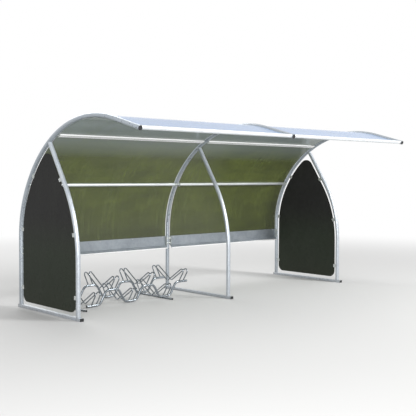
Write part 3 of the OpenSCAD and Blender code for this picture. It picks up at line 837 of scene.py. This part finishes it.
def rodPath(look):
    lean = math.radians(look["lean"])
    arch, trough = look["arch"], look["trough"]
    leg = (look["high"] - arch * (1 + math.sin(lean))) / math.cos(lean)
    across = leg * math.sin(lean) - arch * math.cos(lean) + (look["rearY"] - look["frontY"]) / 2
    down = look["troughZ"] + trough - (look["high"] - arch)
    far = math.hypot(across, down)
    fall = math.degrees(math.asin((arch + trough) / far) - math.atan2(down, across))
    arm = math.sqrt(far ** 2 - (arch + trough) ** 2)
    turn = -(look["lean"] + 90 + fall)
    return [(leg, arch, turn), (arm, trough, 2 * fall), (arm, arch, turn), (leg, 0, 0)]


# across and up for the two rods of a cradle
def rodPlaces(index, look):
    z = look["lowZ"] + (index % 2) * look["rise"]
    return [(look["left"] + look["half"] + index * look["pitch"] + rod * look["rodGap"], z)
            for rod in (-0.5, 0.5)]


def makeCradle(index, look):
    group = bmesh.new()
    for x, z in rodPlaces(index, look):
        rod = sweptBar(look["rod"], (look["frontY"], z, look["lean"]), rodPath(look), look["rodStep"],
                       look["rodSides"])
        addShape(group, rod, place(x, 0, 0))
    replaceNode("rack_cradle_" + str(index + 1), group, steels["rackZinc"])


def turned(profile, steps):
    bm = bmesh.new()
    corners = [bm.verts.new((radius, 0, height)) for radius, height in profile]
    for start, end in zip(corners, corners[1:]):
        bm.edges.new((start, end))
    spinRound(bm, steps)
    return bm


# a weld bead: a ring with small ripples, moved so that its middle runs along the given seam;
# each bead has its half thickness and about how long it is
weldLook = {
    "ripple": 0.0042, "rippleDepth": 0.14, "stepsPerRipple": 4, "fewestRipples": 8, "sides": 7,
    "footOut": 0.0008,
    "beads": {"foot": (0.0032, 0.15), "post": (0.0032, 0.17), "edgeTube": (0.003, 0.13),
              "stub": (0.0026, 0.08), "plate": (0.0022, 0.08), "rod": (0.0018, 0.05),
              "rackFoot": (0.0022, 0.09)},
}


def weldBead(seam, bead, look=weldLook):
    thick, around = look["beads"][bead]
    ripples = max(look["fewestRipples"], round(around / look["ripple"]))
    bm = roundShape(thick, look["sides"], False)
    bmesh.ops.translate(bm, verts=bm.verts, vec=(1, 0, 0))
    spinRound(bm, ripples * look["stepsPerRipple"])
    for vert in bm.verts:
        turn = math.atan2(vert.co.y, vert.co.x)
        swell = 1 + look["rippleDepth"] * math.sin(ripples * turn)
        out = (math.hypot(vert.co.x, vert.co.y) - 1) * swell
        rise = vert.co.z * swell
        vert.co = Vector(seam(turn)) + Vector((math.cos(turn) * out, math.sin(turn) * out, rise))
    return bm


def flatSeam(radius):
    return lambda turn: (radius * math.cos(turn), radius * math.sin(turn), 0)


# seam where a tube along local Z meets another round, whose axis leans from Z in the YZ plane
def saddleSeam(radius, other, lean, offset=0.0):
    def seam(turn):
        x, y = radius * math.cos(turn), radius * math.sin(turn)
        depth = math.sqrt(max(other ** 2 - (x + offset) ** 2, 0.0))
        return (x, y, y / math.tan(lean) - depth / abs(math.sin(lean)))
    return seam


midStation, upperStation = onHoop(shelter["midRailAt"]), onHoop(shelter["upperRailAt"])
lowerStation = (shelter["hoopY"], shelter["lowerRailTop"] - shelter["lowerRailWeb"] / 2, 0)
lowerRailY = shelter["hoopY"] - shelter["sheetThick"] / 2
# station, outward and along for each stub between a hoop and a rail's end plate
bracketStubs = [(midStation, -0.021, 0.0), (upperStation, -0.004, 0.0),
                (lowerStation, -0.012, -0.030), (lowerStation, -0.012, 0.030)]


def frameWelds(side, x):
    group = bmesh.new()
    tube = shelter["tube"]
    for y in (shelter["hoopY"], shelter["postY"]):
        addShape(group, weldBead(flatSeam(tube + weldLook["footOut"]), "foot"),
                 place(x, y, shelter["railTop"] + weldLook["footOut"]))
    towards = Matrix(((1, 0, 0, x), (0, math.cos(postTurn), math.sin(postTurn), joint[0]),
                      (0, -math.sin(postTurn), math.cos(postTurn), joint[1]), (0, 0, 0, 1)))
    addShape(group, weldBead(saddleSeam(tube, tube, -(postTurn + jointTurn)), "post"), towards)
    edge = afterStraight(hoopStations[-1], -shelter["edgeInset"])
    plateIn = place(0, 0, shelter["plate"] - shelter["railEnd"])
    for way in shelter["railWays"][side]:
        flip = Matrix.Scale(-way, 4, (0, 0, 1))
        addShape(group, weldBead(saddleSeam(shelter["edgeTube"], tube, math.pi / 2), "edgeTube"),
                 stationMatrix(x, edge) @ flip)
        for station, normal, along in bracketStubs:
            middle = stationMatrix(x, station) @ place(normal, along, 0) @ flip
            seam = saddleSeam(shelter["stub"], tube, math.pi / 2, normal)
            addShape(group, weldBead(seam, "stub"), middle)
            addShape(group, weldBead(flatSeam(shelter["stub"]), "plate"), middle @ plateIn)
    for vert in group.verts:
        vert.co.x = min(max(vert.co.x, cadBox[0][0]), cadBox[1][0])
    finishPiece("frame_welds_" + side, group, steels["weldZinc"], "weld")


for side, x in shelter["frames"].items():
    frameWelds(side, x)
print("frames welded")

makeWave("rack_front_wave", rackLook["frontY"], 0.0, rackLook)
makeWave("rack_rear_wave", rackLook["rearY"], rackLook["rearReach"], rackLook)
for index in range(rackLook["slots"]):
    makeCradle(index, rackLook)
print("rack drawn")

# hexagon bolts with washers on the brackets' end plates, heads towards the frame
boltLook = {
    "washer": 0.0066, "washerThick": 0.0012, "washerEdge": 0.0003, "washerSides": 18,
    "head": 0.0056, "headHigh": 0.0042, "chamfer": 0.0007, "chamferSteps": 2, "twist": 0.4,
    "spots": [(upperStation, -0.004, 0.0195), (upperStation, -0.004, -0.0195),
              (midStation, -0.0365, 0.0155), (midStation, -0.0055, -0.0155),
              (lowerStation, -0.012, 0.0), (lowerStation, -0.012, 0.0515),
              (lowerStation, -0.012, -0.0515)],
}


def hexBolt(look):
    wide, thick, edge = look["washer"], look["washerThick"], look["washerEdge"]
    bm = turned([(0, 0), (wide - edge, 0), (wide, edge), (wide, thick - edge), (wide - edge, thick),
                 (0, thick)], look["washerSides"])
    bmesh.ops.create_cone(bm, cap_ends=True, segments=6, radius1=look["head"], radius2=look["head"],
                          depth=look["headHigh"], matrix=place(0, 0, thick + look["headHigh"] / 2))
    nearTop = thick + look["headHigh"] - look["chamfer"]
    rim = [edge for edge in bm.edges if all(vert.co.z > nearTop for vert in edge.verts)]
    rollEdges(bm, rim, look["chamfer"], look["chamferSteps"])
    return bm


def bracketBolts(side, x, look):
    group = bmesh.new()
    for way in shelter["railWays"][side]:
        inner = way * (shelter["railEnd"] - shelter["plate"])
        flip = Matrix.Scale(-way, 4, (0, 0, 1))
        for index, (station, normal, along) in enumerate(look["spots"]):
            spot = place(normal, along, inner) @ Matrix.Rotation(look["twist"] * index, 4, "Z")
            addShape(group, hexBolt(look), stationMatrix(x, station) @ spot @ flip)
    finishPiece("bracket_bolts_" + side, group, steels["boltSteel"])


for side, x in shelter["frames"].items():
    bracketBolts(side, x, boltLook)

# round-headed screws: through the clamps' jaws, the lower rails and the middle rails
screwLook = {
    "clamp": [(0, 0), (0.0076, 0), (0.0076, 0.001), (0.0062, 0.0012), (0.0060, 0.0022),
              (0.0052, 0.0036), (0.0036, 0.0045), (0.0026, 0.0047), (0.0024, 0.0028), (0, 0.0028)],
    "rail": [(0, 0), (0.0078, 0), (0.0078, 0.0008), (0.0072, 0.0016), (0.0050, 0.0018),
             (0.0048, 0.0030), (0.0038, 0.0042), (0.0020, 0.0048), (0.0016, 0.0034), (0, 0.0034)],
    "sides": 16, "jaw": 0.008,
    "clampDepth": 0.058, "clampSpread": 0.011, "clampHeights": (0.228, 0.882),
    "clampHeading": 36, "clampReach": 0.097,
    "railCount": 5, "railFrom": 0.090, "railEvery": 0.492, "lowerRailZ": 0.677, "midRailOut": 0.003,
}


# the station at a height on an upright that bends forward (way 1) or back (way -1)
def onUpright(z, foot, upright, radius, way):
    above = z - shelter["railTop"] - upright
    if above < 0:
        return (foot, z, 0)
    turn = math.asin(above / radius)
    return (foot - way * radius * (1 - math.cos(turn)), z, way * math.degrees(turn))


def clampStations(look):
    hoop = [onUpright(z, shelter["hoopY"], shelter["hoopUpright"], shelter["backRadius"], 1)
            for z in look["clampHeights"]] + [onHoop(look["clampHeading"])]
    post = [onUpright(z, shelter["postY"], shelter["postUpright"], shelter["postRadius"], -1)
            for z in look["clampHeights"]] + [afterStraight(postBendEnd, look["clampReach"])]
    return [(station, -1) for station in hoop] + [(station, 1) for station in post]


def clampScrews(side, x, look):
    group = bmesh.new()
    for station, inward in clampStations(look):
        for face in (-1, 1):
            for along in (-look["clampSpread"], look["clampSpread"]):
                spot = place(inward * look["clampDepth"], along, face * look["jaw"])
                addShape(group, turned(look["clamp"], look["sides"]),
                         stationMatrix(x, station) @ spot @ Matrix.Scale(face, 4, (0, 0, 1)))
    finishPiece("clamp_screws_" + side, group, steels["boltSteel"])


for side in ("left", "right"):
    clampScrews(side, shelter["frames"][side], screwLook)


def railScrews(side, x, look):
    group = bmesh.new()
    toFront = Matrix.Rotation(math.pi / 2, 4, "X")
    toBack = Matrix.Rotation(-math.pi / 2, 4, "X")
    midRail = place(look["midRailOut"], 0, 0) @ Matrix.Rotation(math.pi / 2, 4, "Y")
    for count in range(look["railCount"]):
        across = x + look["railFrom"] + look["railEvery"] * count
        for spot in (place(across, lowerRailY - shelter["lowerRailWall"], look["lowerRailZ"]) @ toFront,
                     place(across, lowerRailY + shelter["sheetThick"], look["lowerRailZ"]) @ toBack,
                     stationMatrix(across, midStation) @ midRail):
            addShape(group, turned(look["rail"], look["sides"]), spot)
    finishPiece("rail_screws_" + side, group, steels["boltSteel"])


for side, x in shelter["bays"].items():
    railScrews(side, x, screwLook)
print("bolts and screws in place")

# black rubber strips in the upper rails' grooves, and where the sheet passes behind the lower rail:
# station, outward and along for each
sealLook = {
    "radius": 0.0016, "sides": 10,
    "spots": [(upperStation, -0.0166, 0.0012), (upperStation, -0.0166, -0.0012),
              (upperStation, -0.0042, 0.0225), (upperStation, 0.0042, 0.0225),
              (upperStation, -0.0042, -0.0225), (upperStation, 0.0042, -0.0225),
              ((lowerRailY - 0.0014, shelter["lowerRailTop"] + 0.0005, 0), 0.0, 0.0)],
}


def roundStrip(look):
    strip = bmesh.new()
    bmesh.ops.create_circle(strip, cap_ends=True, segments=look["sides"], radius=look["radius"])
    grown = bmesh.ops.extrude_face_region(strip, geom=strip.faces[:])["geom"]
    bmesh.ops.translate(strip, verts=only(bmesh.types.BMVert, grown),
                        vec=(0, 0, shelter["railRun"] - 2 * shelter["stripInset"]))
    return strip


def makeStrips(name, x, look, material):
    group = bmesh.new()
    start = x + shelter["railEnd"] + shelter["stripInset"]
    for station, normal, along in look["spots"]:
        addShape(group, roundStrip(look), stationMatrix(start, station) @ place(normal, along, 0))
    finishPiece(name, group, material)


for side, x in shelter["bays"].items():
    makeStrips("sheet_seals_" + side, x, sealLook, blackRubber)
print("rubber strips in place")

# lower rails: rolled edge along the lip's foot, near white as a painted highlight along the lip
hemLook = {"radius": 0.007, "sides": 14, "lip": 0.0368, "back": 0.0020, "lift": 0.0010}
hemStation = (lowerRailY - hemLook["lip"] - hemLook["back"],
              shelter["lowerRailTop"] - shelter["lowerRailWeb"] - hemLook["lip"] + hemLook["lift"], 0)
hemLook["spots"] = [(hemStation, 0.0, 0.0)]
for side, x in shelter["bays"].items():
    makeStrips("lower_rail_hem_" + side, x, hemLook, steels["railAluminiumPaintedLight"])


# beads where the cradle rods meet the wave tubes and where the waves lie in the foot tubes
def footSeam(look):
    foot, wave = look["foot"], look["wave"]
    lowest = math.acos(-(2 * foot - look["lowZ"]) / wave)

    def seam(turn):
        swing = lowest * math.sin(turn)
        z = look["lowZ"] - wave * math.cos(swing)
        x = math.sqrt(max(foot ** 2 - (z - foot) ** 2, 0.0))
        return (math.copysign(x, math.cos(turn)), wave * math.sin(swing), z)
    return seam


def rackWelds(look):
    group = bmesh.new()
    lean = math.radians(look["lean"])
    rodSeam = saddleSeam(look["rod"], look["wave"], math.pi / 2)
    for index in range(look["slots"]):
        for x, z in rodPlaces(index, look):
            for y, way in ((look["frontY"], 1), (look["rearY"], -1)):
                towards = Matrix(((0, 1, 0, x), (math.cos(lean), 0, way * math.sin(lean), y),
                                  (way * math.sin(lean), 0, -math.cos(lean), z), (0, 0, 0, 1)))
                addShape(group, weldBead(rodSeam, "rod"), towards)
    for x, y in look["feet"]:
        addShape(group, weldBead(footSeam(look), "rackFoot"), place(x, y, 0))
    finishPiece("rack_welds", group, steels["rackZinc"], "weld")


rackWelds(rackLook)
print("rack welded")

# pale floor that fades to white far away, and a plain soft studio
studio = {
    "floorColour": rgb(0.60, 0.60, 0.595),
    "floorRoughness": 0.9, "floorSpecular": 0.1,
    "floorRadius": 60.0, "floorSides": 96, "floorDrop": 0.0005,
    "fadeFrom": 3.2, "fadeTo": 11.0,
    "worldStrength": 0.54,
    # place, aim, size and watts
    "lamps": {
        "keyLamp": ((4.5, -7.5, 6.0), (0.0, 0.0, 0.8), 3.0, 800),
        "fillLamp": ((-6.5, -6.5, 2.8), (0.0, 0.0, 0.9), 4.0, 430),
        "backLamp": ((1.0, 6.5, 6.5), (0.0, 0.2, 1.0), 5.0, 320),
    },
}


def makeFloor(look):
    bm = bmesh.new()
    bmesh.ops.create_circle(bm, cap_ends=True, segments=look["floorSides"], radius=look["floorRadius"])
    mesh = bpy.data.meshes.new("floor")
    bm.to_mesh(mesh)
    bm.free()
    mesh.transform(place(0, 0, -look["floorDrop"]))
    floor = bpy.data.objects.new("floor", mesh)
    bpy.context.scene.collection.objects.link(floor)
    material, tree, shader = newMaterial("paleFloor")
    plug(tree, shader.inputs, {"Base Color": look["floorColour"], "Roughness": look["floorRoughness"],
                               "Specular IOR Level": look["floorSpecular"]})
    glow = addNode(tree, "ShaderNodeEmission", {"Color": rgb(1, 1, 1), "Strength": 1.0})
    far = vectorMath(tree, "LENGTH", {0: objectCoords(tree)}, "Value")
    fade = addNode(tree, "ShaderNodeMapRange", {
        "Value": far, "From Min": look["fadeFrom"], "From Max": look["fadeTo"]},
        interpolation_type="SMOOTHSTEP")
    amount = doMath(tree, "MULTIPLY", seenDirectly(tree), fade.outputs["Result"])
    blend = addNode(tree, "ShaderNodeMixShader", {
        0: amount, 1: shader.outputs["BSDF"], 2: glow.outputs["Emission"]})
    tree.links.new(blend.outputs["Shader"], tree.nodes["Material Output"].inputs["Surface"])
    mesh.materials.append(material)


def makeWorld(look):
    world = bpy.data.worlds.new("studioWorld")
    bpy.context.scene.world = world
    world.use_nodes = True
    tree = world.node_tree
    strength = remap(tree, seenDirectly(tree), 0.0, 1.0, look["worldStrength"], 1.0)
    plug(tree, tree.nodes["Background"].inputs, {"Color": rgb(1, 1, 1), "Strength": strength})


def makeLamp(name, place, aim, size, watts):
    data = bpy.data.lights.new(name, "AREA")
    data.shape = "DISK"
    data.size = size
    data.energy = watts
    lamp = bpy.data.objects.new(name, data)
    bpy.context.scene.collection.objects.link(lamp)
    lamp.location = place
    lamp.rotation_euler = (Vector(aim) - Vector(place)).to_track_quat("-Z", "Y").to_euler()


makeFloor(studio)
makeWorld(studio)
for name, lamp in studio["lamps"].items():
    makeLamp(name, *lamp)
bpy.context.scene.view_settings.view_transform = "Standard"
print("studio made")
